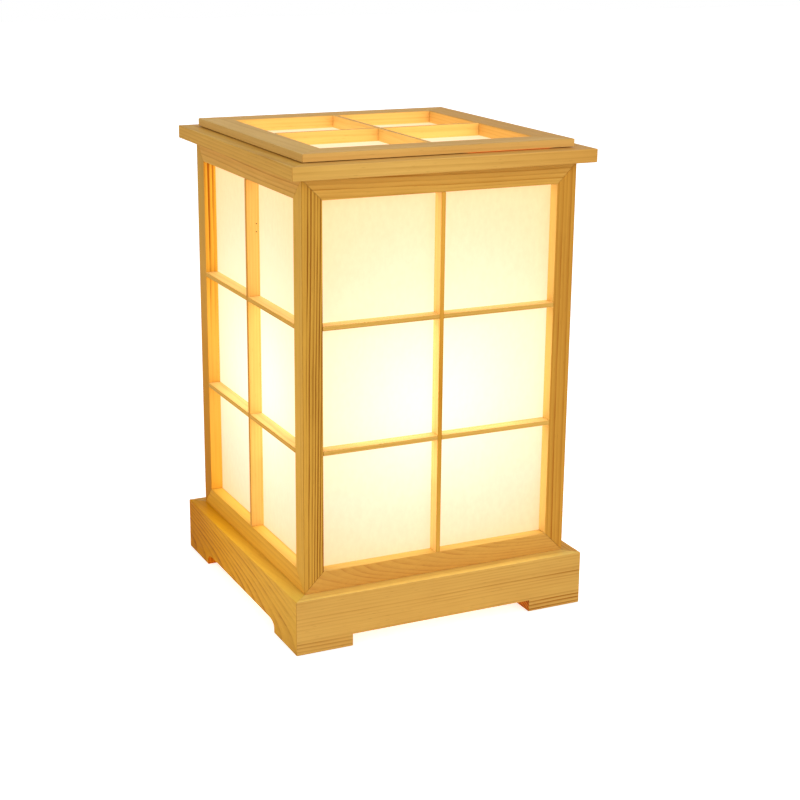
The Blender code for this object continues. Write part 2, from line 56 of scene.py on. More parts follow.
def linear(hex_colour):
    """Linear RGBA of an sRGB hex value."""
    shares = [int(hex_colour[i:i + 2], 16) / 255 for i in (0, 2, 4)]
    return [((s + 0.055) / 1.055) ** 2.4 if s > 0.04045 else s / 12.92 for s in shares] + [1.0]


def add(tree, kind, values=None, **settings):
    """One node: settings are its properties, values its inputs, each a number, a colour or another socket."""
    made = tree.nodes.new("ShaderNode" + kind)
    for key, value in settings.items():
        setattr(made, key, value)
    for key, value in (values or {}).items():
        if isinstance(value, bpy.types.NodeSocket):
            tree.links.new(value, made.inputs[key])
        else:
            made.inputs[key].default_value = value
    return made


def new_material(name):
    """An empty material, its tree and the Principled shader that it shows."""
    made = bpy.data.materials.new(name)
    made.use_nodes = True
    made.node_tree.nodes.clear()
    shader = add(made.node_tree, "BsdfPrincipled")
    add(made.node_tree, "OutputMaterial", {"Surface": shader.outputs["BSDF"]})
    return made, made.node_tree, shader


def ramp(tree, share, stops):
    """A ramp read at a share: stops are (place, value) pairs, each value a grey level or a hex colour."""
    made = add(tree, "ValToRGB", {"Fac": share})
    points = made.color_ramp.elements
    while len(points) < len(stops):
        points.new(0.5)
    for point, (place, value) in zip(points, stops):
        point.position = place
        point.color = linear(value) if isinstance(value, str) else (value, value, value, 1.0)
    return made.outputs["Color"]


def along_axis(tree, spot, axis, stops):
    """A ramp along one axis of the lamp: stops are (mm, value) pairs, lowest place first."""
    first, last = stops[0][0], stops[-1][0]
    place = add(tree, "SeparateXYZ", {"Vector": spot}).outputs[axis]
    span = {"Value": place, "From Min": first * MM, "From Max": last * MM}
    share = add(tree, "MapRange", span).outputs["Result"]
    return ramp(tree, share, [((at - first) / (last - first), value) for at, value in stops])


def noise(tree, spot, size, detail=2.0):
    """Noise whose lumps have a size in mm along each axis."""
    scale = [1 / (s * MM) for s in size]
    stretched = add(tree, "VectorMath", {0: spot, 1: scale}, operation="MULTIPLY").outputs["Vector"]
    return add(tree, "TexNoise", {"Vector": stretched, "Scale": 1.0, "Detail": detail})


def blend(tree, share, first, second, kind="MIX"):
    """Two colours mixed, or multiplied, by a share."""
    made = add(tree, "Mix", {"Factor": share, 6: first, 7: second}, data_type="RGBA", blend_type=kind)
    return made.outputs[2]


def late_wood(tree, log, ring, wander, uneven):
    """Darkness of the growth rings, from 0 in pale early wood to 1 at a strong year's late edge.

    The ring number is the distance from the pith, which is the z axis of the log, over the ring width.
    Slow noise sways the log, a second one makes the years uneven, and each year's edge has its own darkness.
    """
    reach = 2 * wander * MM
    sway = noise(tree, log, (40, 40, 160), 3.0).outputs["Color"]
    sway = add(tree, "VectorMath", {0: sway, 1: (0.5, 0.5, 0.5)}, operation="SUBTRACT").outputs["Vector"]
    swayed = add(tree, "VectorMath", {0: sway, 1: (reach, reach, 0), 2: log}, operation="MULTIPLY_ADD")
    flat = add(tree, "VectorMath", {0: swayed.outputs["Vector"], 1: (1, 1, 0)}, operation="MULTIPLY")
    radius = add(tree, "VectorMath", {0: flat.outputs["Vector"]}, operation="LENGTH").outputs["Value"]
    years = add(tree, "Math", {0: radius, 1: ring * MM}, operation="DIVIDE").outputs["Value"]
    growth = add(tree, "TexNoise", {"W": years, "Scale": 0.37, "Detail": 1.0}, noise_dimensions="1D")
    growth = growth.outputs["Fac"]
    years = add(tree, "Math", {0: growth, 1: uneven, 2: years}, operation="MULTIPLY_ADD").outputs["Value"]
    year = add(tree, "Math", {0: years}, operation="FLOOR").outputs["Value"]
    season = add(tree, "Math", {0: years}, operation="FRACT").outputs["Value"]
    edge = ramp(tree, season, [(0.0, 0.8), (0.1, 0.0), (0.4, 0.05), (0.72, 0.45), (0.92, 1.0)])
    chance = add(tree, "TexWhiteNoise", {"W": year}, noise_dimensions="1D").outputs["Value"]
    chance = add(tree, "MapRange", {"Value": chance, "To Min": 0.3, "To Max": 1.0}).outputs["Result"]
    edge = add(tree, "Math", {0: edge, 1: chance}, operation="MULTIPLY").outputs["Value"]
    fading = noise(tree, log, (3, 3, 45)).outputs["Fac"]
    span = {"Value": fading, "From Min": 0.3, "From Max": 0.7, "To Min": 0.5, "To Max": 1.3}
    fading = add(tree, "MapRange", span).outputs["Result"]
    return add(tree, "Math", {0: edge, 1: fading}, operation="MULTIPLY").outputs["Value"]


def pine(node, along, pith, lean=(0, 0, 0), ring=2.4, lines=0.6, seed=0.0, wander=1.5, uneven=1.0,
         pale="E3AE52", dark="AE6E1C", figures=(), tints=()):
    """Waxed pine, cut from its own place in a log whose pith is so many mm from the piece's middle.

    Dark late wood lies over pale early wood, with fine fibres, short resin canals and slow clouds along
    the grain. Sawn ends are redder. Each figure changes the lines' strength along an axis. Each tint changes
    the colour along an axis, everywhere or by a share that changes along another; most tints given below are
    painted light and shade.
    """
    made, tree, shader = new_material("pine_" + node)
    low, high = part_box(node)
    place = [(low[i] + high[i]) / 2 + pith[i] * MM for i in range(3)]
    turn = [math.radians(a + b) for a, b in zip(GRAIN_TURNS[along], lean)]
    spot = add(tree, "TexCoord").outputs["Object"]
    log = add(tree, "Mapping", {"Vector": spot, "Location": place, "Rotation": turn}, vector_type="TEXTURE")
    log = add(tree, "VectorMath", {0: log.outputs["Vector"], 1: (0, 0, seed)}, operation="ADD")
    log = log.outputs["Vector"]

    edge = late_wood(tree, log, ring, wander, uneven)
    for figure in figures:
        strength = along_axis(tree, spot, *figure)
        edge = add(tree, "Math", {0: edge, 1: strength}, operation="MULTIPLY").outputs["Value"]
    fibre = noise(tree, log, (0.7, 0.7, 30), 3.0).outputs["Fac"]
    cloud = noise(tree, log, (17, 17, 70)).outputs["Fac"]
    shade = add(tree, "Math", {0: edge, 1: lines}, operation="MULTIPLY").outputs["Value"]
    shade = add(tree, "Math", {0: fibre, 1: 0.3, 2: shade}, operation="MULTIPLY_ADD").outputs["Value"]
    shade = add(tree, "Math", {0: cloud, 1: 0.3, 2: shade}, operation="MULTIPLY_ADD").outputs["Value"]
    shade = add(tree, "Math", {0: shade, 1: 0.2}, operation="SUBTRACT", use_clamp=True).outputs["Value"]
    facing = add(tree, "NewGeometry").outputs["Normal"]
    facing = add(tree, "VectorMath", {0: facing, 1: GRAIN_AXES[along]}, operation="DOT_PRODUCT")
    facing = add(tree, "Math", {0: facing.outputs["Value"]}, operation="ABSOLUTE").outputs["Value"]
    sawn = add(tree, "MapRange", {"Value": facing, "From Min": 0.8, "From Max": 0.98}).outputs["Result"]
    early = blend(tree, sawn, linear(pale), linear("F0A248"))
    late = blend(tree, sawn, linear(dark), linear("8A3E0C"))
    colour = blend(tree, shade, early, late)

    scale = [1 / (size * MM) for size in CANAL_SIZE]
    dashes = add(tree, "VectorMath", {0: log, 1: scale}, operation="MULTIPLY").outputs["Vector"]
    canal = add(tree, "TexVoronoi", {"Vector": dashes, "Scale": 1.0}).outputs["Distance"]
    canal = ramp(tree, canal, [(0.06, 0.22), (0.16, 0.0)])
    colour = blend(tree, canal, colour, linear("8A5416"))
    for axis, stops, *within in tints:
        share = along_axis(tree, spot, *within[0]) if within else 1.0
        colour = blend(tree, share, colour, along_axis(tree, spot, axis, stops), "MULTIPLY")
    tree.links.new(colour, shader.inputs["Base Color"])

    satin = add(tree, "MapRange", {"Value": fibre, "To Min": 0.4, "To Max": 0.6}).outputs["Result"]
    tree.links.new(satin, shader.inputs["Roughness"])
    height = add(tree, "Math", {0: edge, 1: -0.6, 2: fibre}, operation="MULTIPLY_ADD").outputs["Value"]
    relief = add(tree, "Bump", {"Height": height, "Strength": 0.35, "Distance": 0.06 * MM})
    tree.links.new(relief.outputs["Normal"], shader.inputs["Normal"])
    shader.inputs["IOR"].default_value = 1.5
    shader.inputs["Specular IOR Level"].default_value = 0.04
    return made


def wear(node, material):
    """Gives a CAD node its finish."""
    nodes[node].data.materials.clear()
    nodes[node].data.materials.append(material)


def wear_pine(node, along, pith, **cut):
    """Cuts a node from its own place in a log."""
    wear(node, pine(node, along, pith, **cut))


# The Z tints on the base boards paint their top ledge paler than their sides: painted light from the screens
# above.
wear_pine("base_board_front", "x", (0, 16, -64), lean=(0, 0.3, 0), ring=2.3, lines=1.0, seed=0.31,
          pale="FFDF78", dark="B9771C",
          figures=[("Z", [(7, 1.6), (11, 0.25), (20, 0.3), (25, 0.8), (30, 0.35), (37, 0.3)]),
                   ("X", [(-108, 0.95), (-65, 0.55), (-20, 0.5), (40, 1.0)])],
          tints=[("Z", [(38.0, "DBC4BA"), (38.18, "FDF8F5")])])
# The left board's Y tint is painted warm light: the board turns warmer and darker towards its far end.
wear_pine("base_board_left", "y", (24, 0, -16), lean=(0, 0, 6), ring=2.3, lines=0.75, seed=0.12,
          pale="FACF57", dark="B87620",
          figures=[("Z", [(36.8, 1.0), (38, 0.15)]), ("Y", [(-106, 0.5), (-70, 1.0)])],
          tints=[("Y", [(-90, "FAFDFB"), (-13, "FFFACF"), (45, "FCEA80"), (100, "E8C830")]),
                 ("Z", [(38.0, "EEDCD0"), (38.18, "FFFFFF")])])
wear_pine("base_board_right", "y", (-30, 0, 40), lean=(0, 0, 2), ring=2.6, seed=0.53)
wear_pine("base_board_rear", "x", (0, -24, -10), lean=(0, 0, 5), ring=2.8, seed=0.74)

# Floor panel
# A square of birch plywood, held in grooves of the boards, with a hole for the wires under the lampholder.
# Its faces are rotary-cut veneer, pale and nearly plain, and its edges are hidden in the grooves.


def plywood():
    """Rotary-cut birch: a slow, wide figure stretched along the face grain, with fine short pores."""
    made, tree, shader = new_material("birch_plywood")
    spot = add(tree, "TexCoord").outputs["Object"]
    figure = noise(tree, spot, (90, 9, 9), 3.0).outputs["Fac"]
    pores = noise(tree, spot, (7, 0.5, 0.5)).outputs["Fac"]
    shade = add(tree, "Math", {0: pores, 1: 0.3, 2: figure}, operation="MULTIPLY_ADD").outputs["Value"]
    tree.links.new(ramp(tree, shade, [(0.35, "DCBD8E"), (0.9, "B88C55")]), shader.inputs["Base Color"])
    matt = add(tree, "MapRange", {"Value": pores, "To Min": 0.5, "To Max": 0.75}).outputs["Result"]
    tree.links.new(matt, shader.inputs["Roughness"])
    return made


wear("base_floor_panel", plywood())

# Cord bush
# A moulded black rubber bush, pushed into the rear board's hole from inside, to keep the cord off the wood.
# Moulded rubber is matt, with a faint grain from the mould.


def rubber():
    """Black rubber: fine grain in the colour and the gloss."""
    made, tree, shader = new_material("black_rubber")
    spot = add(tree, "TexCoord").outputs["Object"]
    grain = noise(tree, spot, (0.5, 0.5, 0.5)).outputs["Fac"]
    tree.links.new(ramp(tree, grain, [(0.3, "191817"), (0.8, "2B2927")]), shader.inputs["Base Color"])
    matt = add(tree, "MapRange", {"Value": grain, "To Min": 0.5, "To Max": 0.75}).outputs["Result"]
    tree.links.new(matt, shader.inputs["Roughness"])
    return made


wear("cord_bush", rubber())

# Lampholder
# A glazed porcelain body screwed to the floor panel with two cross-head screws. It holds a brass shell,
# rolled to the bulb's thread, and a sprung brass tongue that meets the bulb's contact.
TURN_STEPS = 96
THREAD_PITCH = 3.62
THREAD_FADE = 1.5
holder_low, holder_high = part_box("lampholder_body")
shell_low, shell_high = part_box("lampholder_shell")


def rounded(points, radius, steps=6):
    """A profile with each inner corner replaced by a curve between points one radius before and after it."""
    points = np.array(points, float)
    corner, before, after = points[1:-1], points[:-2], points[2:]
    start = corner + (before - corner) * radius / np.linalg.norm(before - corner, axis=1, keepdims=True)
    end = corner + (after - corner) * radius / np.linalg.norm(after - corner, axis=1, keepdims=True)
    t = np.linspace(0, 1, steps)[None, :, None]
    curves = (1 - t) ** 2 * start[:, None] + 2 * t * (1 - t) * corner[:, None] + t ** 2 * end[:, None]
    return np.concatenate([points[:1], curves.reshape(-1, 2), points[-1:]])


def turned(profile, swell=0.0, lift=0.0):
    """Points and faces of a profile of (radius, height) points in mm, carried round the z axis and closed.

    The profile runs with the solid on its right. If it starts on the axis it ends there too, and each end
    becomes one point; otherwise its last point joins its first. swell and lift add to the radius and the
    height per angle.
    """
    profile = np.array(profile, float)
    poles = profile[[0, -1]] if profile[0, 0] == 0 else np.empty((0, 2))
    rows = profile[1:-1] if len(poles) else profile
    angle = np.linspace(0, 2 * np.pi, TURN_STEPS, endpoint=False)
    radius = rows[:, :1] + swell + 0 * angle
    height = rows[:, 1:] + lift + 0 * angle
    ring = np.stack([radius * np.cos(angle), radius * np.sin(angle), height], -1).reshape(-1, 3)
    tips = np.column_stack([0 * poles, poles[:, 1]])
    index = np.arange(len(rows) * TURN_STEPS).reshape(len(rows), TURN_STEPS)
    upper, lower = (index[:-1], index[1:]) if len(poles) else (index, np.roll(index, -1, 0))
    faces = np.stack([upper, lower, np.roll(lower, -1, 1), np.roll(upper, -1, 1)], -1).reshape(-1, 4).tolist()
    if len(poles):
        first, last = len(ring), len(ring) + 1
        faces += np.stack([np.full(TURN_STEPS, first), index[0], np.roll(index[0], -1)], -1).tolist()
        faces += np.stack([index[-1], np.full(TURN_STEPS, last), np.roll(index[-1], -1)], -1).tolist()
    return np.concatenate([ring, tips]), faces


def piece(name, points, faces, finish, body, replaced=()):
    """A new piece, with points in mm, that rides on a body, in place of the CAD nodes named."""
    mesh = bpy.data.meshes.new(name)
    mesh.from_pydata((points * MM).tolist(), [], faces)
    mesh.shade_smooth()
    mesh.set_sharp_from_angle(angle=math.radians(35))
    mesh.materials.append(finish)
    made = bpy.data.objects.new(name, mesh)
    bpy.context.scene.collection.objects.link(made)
    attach(made, body)
    if replaced:
        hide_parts(*replaced)


def thread(height, low, high, depth):
    """How far a rolled thread stands out: a wave that climbs one pitch a turn and fades at its ends."""
    angle = np.linspace(0, 2 * np.pi, TURN_STEPS, endpoint=False)
    wave = np.cos(2 * np.pi * height[:, None] / THREAD_PITCH - angle) * depth / 2
    ends = np.clip(np.minimum(height - low, high - height) / THREAD_FADE, 0, 1)
    return wave * (ends * ends * (3 - 2 * ends))[:, None]


def porcelain():
    """White glazed porcelain: a clear gloss over a body with faint warm clouds."""
    made, tree, shader = new_material("glazed_porcelain")
    spot = add(tree, "TexCoord").outputs["Object"]
    cloud = noise(tree, spot, (12, 12, 12), 3.0).outputs["Fac"]
    tree.links.new(ramp(tree, cloud, [(0.3, "F2EFE8"), (0.75, "E6E0D3")]), shader.inputs["Base Color"])
    gloss = add(tree, "MapRange", {"Value": cloud, "To Min": 0.1, "To Max": 0.26}).outputs["Result"]
    tree.links.new(gloss, shader.inputs["Roughness"])
    shader.inputs["IOR"].default_value = 1.52
    return made


def sheet_metal(name, bright, dull, rough):
    """Pressed sheet metal: faint drawing marks round it and cloudy tarnish."""
    made, tree, shader = new_material(name)
    spot = add(tree, "TexCoord").outputs["Object"]
    marks = noise(tree, spot, (6, 6, 0.3), 3.0).outputs["Fac"]
    tree.links.new(ramp(tree, marks, [(0.35, bright), (0.75, dull)]), shader.inputs["Base Color"])
    gloss = add(tree, "MapRange", {"Value": marks, "To Min": rough - 0.08, "To Max": rough + 0.1})
    tree.links.new(gloss.outputs["Result"], shader.inputs["Roughness"])
    shader.inputs["Metallic"].default_value = 1.0
    return made


foot, rim = holder_low[2] / MM, holder_high[2] / MM
flange = holder_high[0] / MM
FLANGE_THICKNESS = 7
OUTER_WALL = 19.4
SOCKET_WALL = 14.4
SOCKET_DEPTH = 30
SOCKET_WEB = 4
HOLLOW_WALL = 14
HOLDER_ROUNDING = 1.2
seat = foot + FLANGE_THICKNESS
socket_floor = rim - SOCKET_DEPTH
web = socket_floor - SOCKET_WEB
holder_profile = rounded([
    (0, socket_floor), (SOCKET_WALL, socket_floor), (SOCKET_WALL, rim), (OUTER_WALL, rim), (OUTER_WALL, seat),
    (flange, seat), (flange, foot), (HOLLOW_WALL, foot), (HOLLOW_WALL, web), (0, web)], HOLDER_ROUNDING)
piece("lampholder_body_glazed", *turned(holder_profile), porcelain(), "lamp", ["lampholder_body"])

SHELL_MIDDLE = 13.7
SHELL_SHEET = 0.3
SHELL_THREAD = 0.4
brass = sheet_metal("brass", "DDB866", "B98F45", 0.28)
shell_up = np.linspace(shell_low[2] / MM, shell_high[2] / MM, 110)
shell_heights = np.concatenate([shell_up, shell_up[::-1]])
shell_radii = np.repeat([SHELL_MIDDLE, SHELL_MIDDLE + SHELL_SHEET], len(shell_up))
shell_swell = thread(shell_heights, shell_up[0] + 1, shell_up[-1] - 1, SHELL_THREAD)
shell_points, shell_faces = turned(np.column_stack([shell_radii, shell_heights]), swell=shell_swell)
piece("lampholder_shell_threaded", shell_points, shell_faces, brass, "lamp", ["lampholder_shell"])
wear("lampholder_tongue", brass)

SCREW_HEAD = 3.0
SCREW_SHANK = 1.5
HEAD_HEIGHT = 1.9
HEAD_EDGE = 0.5
HEAD_EASED = 0.1
HEAD_LIFT = 0.05
TIP_ABOVE_FOOT = 0.2
CROSS_HALF = 0.42
CROSS_REACH = 1.9
CROSS_DEPTH = 1.0
CROSS_SIDE = 0.12
CROSS_END = 0.3
dome = np.linspace(0, np.pi / 2, 14)[1:]
flat_radii = np.linspace(0.15, CROSS_REACH, 16)
head_radii = np.concatenate([flat_radii, CROSS_REACH + (SCREW_HEAD - CROSS_REACH) * np.sin(dome)])
dome_heights = HEAD_EDGE + (HEAD_HEIGHT - HEAD_EDGE) * np.cos(dome)
head_heights = seat + np.concatenate([np.full(len(flat_radii), HEAD_HEIGHT), dome_heights])
head_under, tip = seat + HEAD_LIFT, foot + TIP_ABOVE_FOOT
cross_floor = seat + HEAD_HEIGHT - CROSS_DEPTH
screw_radii = np.concatenate([[0], head_radii, [SCREW_HEAD - HEAD_EASED, SCREW_SHANK, SCREW_SHANK, 0]])
screw_heights = np.concatenate([[cross_floor], head_heights, [head_under, head_under, tip, tip]])
screw_profile = np.column_stack([screw_radii, screw_heights])
screw_angle = np.linspace(0, 2 * np.pi, TURN_STEPS, endpoint=False)
row_radii = screw_radii[1:-1, None]
aside = row_radii * np.minimum(abs(np.cos(screw_angle)), abs(np.sin(screw_angle)))
cross = np.clip((CROSS_HALF - aside) / CROSS_SIDE, 0, 1)
cross = cross * np.clip((CROSS_REACH - row_radii) / CROSS_END, 0, 1)
steel = sheet_metal("zinc_steel", "C9C8C2", "A3A199", 0.32)
screw_points, screw_faces = turned(screw_profile, lift=-CROSS_DEPTH * cross)
for end, way in (("left", -1), ("right", 1)):
    screw_place = (way * (OUTER_WALL + flange) / 2, 0, 0)
    piece("lampholder_screw_" + end, screw_points + screw_place, screw_faces, steel, "lamp")

# Side frames
# Each side is a pine frame of two stiles and two rails, mitred at its corners; the frames meet in mitres
# along the lamp's corners. All faces are planed and wax-finished like the base. The outer faces carry tints
# of painted shade, which leave the reveals beside the paper paler, as painted light of its glow.
REVEAL_FROM = 0.6
FACE_FROM = 0.05
OUTER_WAYS = {"front": ("Y", -1), "right": ("X", 1), "rear": ("Y", 1), "left": ("X", -1)}
body_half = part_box("right_stile_left")[1][0] / MM


def across(side, inner, outer):
    """A value that changes from the reveals inside a side's opening to its outer face, so that painted light
    can differ between them.
    """
    axis, way = OUTER_WAYS[side]
    return axis, sorted([(way * (body_half - REVEAL_FROM), inner), (way * (body_half - FACE_FROM), outer)])


def outer_face_shade(side, colour):
    """A tint for the outer face of a side's pieces: painted shade there, which leaves the reveals paler, as
    painted light of the paper's glow.
    """
    return across(side, "FFFFFF", colour)


# The outer-face tints on these pieces are painted shade beside the paler, glow-lit reveals. On the left side,
# the tints along Y and Z are painted warm light, warmer low down and towards the far end; the left stile's
# tint on its reveal is the paper's glow, painted in yellow.
wear_pine("front_stile_left", "z", (-70, 6, 0), lean=(0, 0.7, 0), ring=2.1, lines=1.5, seed=0.4, wander=1.6,
          uneven=0.5, pale="DBA441", dark="8A5010", figures=[("X", [(-96.4, 0.1), (-94.6, 1.0)])])
wear_pine("front_stile_right", "z", (-60, 12, 0), ring=3.1, lines=0.75, seed=0.9, wander=1.6, pale="DEB159",
          dark="AA6A1E", figures=[("Y", [(-93, 1.0), (-91, 0.1)])], tints=[outer_face_shade("front", "F2DCAF")])
wear_pine("front_rail_top", "x", (0, 14, 46), lean=(0, 0.8, 0), ring=2.6, lines=0.75, seed=0.2, wander=3.0,
          pale="DFAA4E")
wear_pine("front_rail_bottom", "x", (0, 15, 14), lean=(0, -1.5, -11), ring=1.9, lines=0.42, seed=0.6,
          wander=3.0, pale="DAB456", dark="B06C2C", tints=[outer_face_shade("front", "FFE9E3")])
wear_pine("left_stile_right", "z", (30, -50, 0), ring=3.0, lines=0.3, seed=0.15, pale="E8B44C",
          tints=[("Z", [(60, "FAF8EC"), (260, "FFFFFF")])])
wear_pine("left_stile_left", "z", (60, 8, 0), ring=3.2, lines=1.3, seed=0.55, wander=2.0, uneven=0.8,
          pale="E5A94F", dark="A2540E",
          figures=[("X", [(-98.2, 0.15), (-97, 1.0)]), ("Z", [(170, 0.15), (235, 1.0), (290, 2.0)])],
          tints=[("Z", [(57, "FFFFBC"), (110, "FFFFDB"), (150, "FFFCE0"), (225, "FFFFBC"), (280, "FCFFAE")],
                  across("left", 1.0, 0.0)),
                 ("Z", [(57, "DFC963"), (110, "E9D983"), (165, "F2E59E"), (225, "FBFFE5"), (275, "F0FBE8")],
                  across("left", 0.0, 1.0))])
wear_pine("left_rail_top", "y", (18, 0, 40), lean=(0.5, 0, 0), ring=2.8, lines=0.5, seed=0.7, pale="E6B254")
wear_pine("left_rail_bottom", "y", (20, 0, -30), lean=(-0.5, 0, 1), ring=3.0, lines=0.35, seed=0.35,
          pale="EEC864",
          tints=[("Y", [(-70, "FFFFFF"), (0, "FFFCDC"), (82, "FAF0BE")]), outer_face_shade("left", "FFE9B7")])
wear_pine("right_stile_left", "z", (-20, 45, 0), seed=0.25)
wear_pine("right_stile_right", "z", (-50, -14, 0), ring=2.2, lines=0.8, seed=0.65)
wear_pine("right_rail_top", "y", (-14, 0, 34), lean=(1, 0, 1), ring=2.8, seed=0.1)
wear_pine("right_rail_bottom", "y", (-15, 0, -9), lean=(0, 0, 4), ring=2.8, seed=0.85, wander=2.5)
wear_pine("rear_stile_left", "z", (40, -30, 0), ring=2.3, lines=0.7, seed=0.45)
wear_pine("rear_stile_right", "z", (-16, -14, 0), lean=(1.5, 1, 0), ring=2.8, seed=0.05)
wear_pine("rear_rail_top", "x", (0, -15, -8), lean=(0, 0, 4), ring=2.8, seed=0.5, wander=2.5)
wear_pine("rear_rail_bottom", "x", (0, -18, 40), lean=(0, 1, 0), ring=2.5, seed=0.95)

# Glue lines
# Wood glue fills the mitres at the lamp's corners and the seats under and over the frames.
# It is wiped off flush and dries to a hard line of the wood's own colour.
GLUE_GAP = 0.01
MITRE_HALF = 0.098
WIPED = 0.08
SET_BACK = 0.4
EASED = 0.6
base_low, base_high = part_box("base_board_front")
frame_low, frame_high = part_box("front_stile_left")
cap_board_low, cap_board_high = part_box("cap_board_front")
rim_low, rim_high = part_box("lid_rail_front")


def square_ring(inner, outer, low, high):
    """Points and faces of a rectangle, in half-widths and heights in mm, carried round four corners."""
    turn = np.arange(4)[:, None] * np.pi / 2 + np.pi / 4
    reach = np.array([outer, outer, inner, inner]) * math.sqrt(2)
    height = np.array([low, high, high, low]) + 0 * turn
    points = np.stack([reach * np.cos(turn), reach * np.sin(turn), height], -1).reshape(-1, 3)
    index = np.arange(16).reshape(4, 4)
    onward = np.roll(index, -1, 0)
    faces = np.stack([index, onward, np.roll(onward, -1, 1), np.roll(index, -1, 1)], -1)
    return points, faces.reshape(-1, 4).tolist()


def dried_glue():
    """Dried wood glue: honey-coloured and satin, with cloudy patches."""
    made, tree, shader = new_material("dried_glue")
    spot = add(tree, "TexCoord").outputs["Object"]
    cloud = noise(tree, spot, (5, 5, 5)).outputs["Fac"]
    tree.links.new(ramp(tree, cloud, [(0.3, "E0AC58"), (0.7, "C88A38")]), shader.inputs["Base Color"])
    shader.inputs["Roughness"].default_value = 0.45
    shader.inputs["Specular IOR Level"].default_value = 0.04
    return made


def mitre_sheet(turn, inner, outer, low, high):
    """Points and faces of a thin upright sheet on the diagonal of one corner, in mm."""
    share, side, height = np.meshgrid((inner, outer), (-MITRE_HALF, MITRE_HALF), (low, high), indexing="ij")
    away, angle = share * math.sqrt(2), turn + math.pi / 4
    points = np.stack([away * math.cos(angle) - side * math.sin(angle),
                       away * math.sin(angle) + side * math.cos(angle), height], -1).reshape(-1, 3)
    return points, [(0, 1, 3, 2), (4, 6, 7, 5), (0, 4, 5, 1), (2, 3, 7, 6), (0, 2, 6, 4), (1, 5, 7, 3)]


glue = dried_glue()
frame_inner = -frame_high[1] / MM
seats = {"base": (base_high[2], frame_low[2]), "cap": (frame_high[2], cap_board_low[2])}
for place, (low, high) in seats.items():
    ring = square_ring(frame_inner, body_half - SET_BACK, low / MM + GLUE_GAP, high / MM - GLUE_GAP)
    piece("glue_line_" + place, *ring, glue, "lamp")

PANEL_CLEAR = 98.0
LIP_THICKNESS = 5.1
mitres = {
    "base": ("lamp", PANEL_CLEAR, base_high[0], base_low[2], base_high[2]),
    "frame": ("lamp", frame_inner, -frame_low[0] - 0.1 * MM, frame_low[2], frame_high[2]),
    "cap": ("lamp", -cap_board_high[1] / MM, cap_board_high[0], cap_board_low[2], cap_board_high[2]),
    "lid": ("lid", -rim_high[1] / MM, rim_high[0], rim_high[2] - LIP_THICKNESS * MM, rim_high[2])}
for place, (body, inner, outer, low, high) in mitres.items():
    span = (inner + WIPED, outer / MM - WIPED, low / MM + EASED, high / MM - EASED)
    for number in range(4):
        piece(f"glue_{place}_{number + 1}", *mitre_sheet(number * math.pi / 2, *span), glue, body)

# Lattice bars
# Thin bars of the same pine, half-lapped where they cross and tenoned into the frames.
# They are sawn from straight-grained stock, so they show fine lines along their length.
# Each row's last colour tints only the bars' outer faces, as do the upright bars' stops along z, darker and
# warmer at mid-height: painted shade there, which leaves the bars' sides by the paper paler, as painted light
# of its glow.
LATTICE_COLOURS = {"x": ("F0BC66", "ECBC6A", "F7F2D6"), "y": ("EAB45C", "F2CB77", "F5E2AE")}
UPRIGHT_FACE_SHADE = {"x": [(65, "EEE4B1"), (165, "E1C875"), (275, "FBEDB5")],
               "y": [(65, "F2E4C8"), (165, "ECD29C"), (275, "F6E8CC")]}
for number, side in enumerate(SIDES):
    along = "x" if side in ("front", "rear") else "y"
    up_pale, cross_pale, cross_face_shade = LATTICE_COLOURS[along]
    wear_pine(side + "_bar_upright", "z", (40, 26, 0), ring=1.8, lines=0.4, seed=0.23 * number, pale=up_pale,
              dark="B4762A", tints=[("Z", UPRIGHT_FACE_SHADE[along], across(side, 0.0, 1.0))])
    for row in (1, 2):
        wear_pine(f"{side}_crossbar_{row}", along, (8, 8, 124 - 80 * row), ring=1.9, lines=0.45,
                  seed=0.31 * number + 0.1 * row, pale=cross_pale, dark="B67C2E",
                  tints=[outer_face_shade(side, cross_face_shade)])

# Paper screens
# One sheet of translucent shade paper is glued behind each frame. The bulb lights it from inside,
# brightest where it is nearest to the bulb, and the light that it passes on falls on the frame's inner edges.
bulb_low, bulb_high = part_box("bulb_globe")
GLOW_CENTRE = (0.0, 0.0, bulb_high[2] - 19 * MM)
OPENING_EDGE = 4.2 * MM


def lit_paper(name, reach):
    """Paper lit from behind.

    Its glow falls with the cube of the distance from the bulb, and is full within a reach in mm. It passes
    most of the light on and returns little, so its own colour is a dull parchment.
    """
    made, tree, shader = new_material(name)
    spot = add(tree, "TexCoord").outputs["Object"]
    away = add(tree, "VectorMath", {0: spot, 1: GLOW_CENTRE}, operation="DISTANCE").outputs["Value"]
    near = add(tree, "Math", {0: reach * MM, 1: away}, operation="DIVIDE").outputs["Value"]
    glow = add(tree, "Math", {0: near, 1: 3.0}, operation="POWER", use_clamp=True).outputs["Value"]
    colour = ramp(tree, glow, [(0.05, "FFCB86"), (0.3, "FFE5BA"), (0.6, "FFF6D1"), (1.0, "FFFFEC")])
    # The glow is dimmed and warmed low down, as painted shade of the lampholder and base under the bulb, and
    # a little towards the top.
    stops = [(50, "FFE8DC"), (95, "FFF2F6"), (140, "FFFFFF"), (200, "FFFFFF"), (245, "FFF9F8")]
    colour = blend(tree, 1.0, colour, along_axis(tree, spot, "Z", stops), "MULTIPLY")
    fibres = noise(tree, spot, (3, 3, 5), 4.0).outputs["Fac"]
    colour = blend(tree, 1.0, colour, ramp(tree, fibres, [(0.3, 0.997), (0.7, 1.0)]), "MULTIPLY")
    tree.links.new(colour, shader.inputs["Emission Color"])
    shader.inputs["Emission Strength"].default_value = 1.0
    tree.links.new(ramp(tree, fibres, [(0.3, "8F8570"), (0.7, "998F7A")]), shader.inputs["Base Color"])
    shader.inputs["Roughness"].default_value = 0.85
    shader.inputs["Specular IOR Level"].default_value = 0.1
    return made


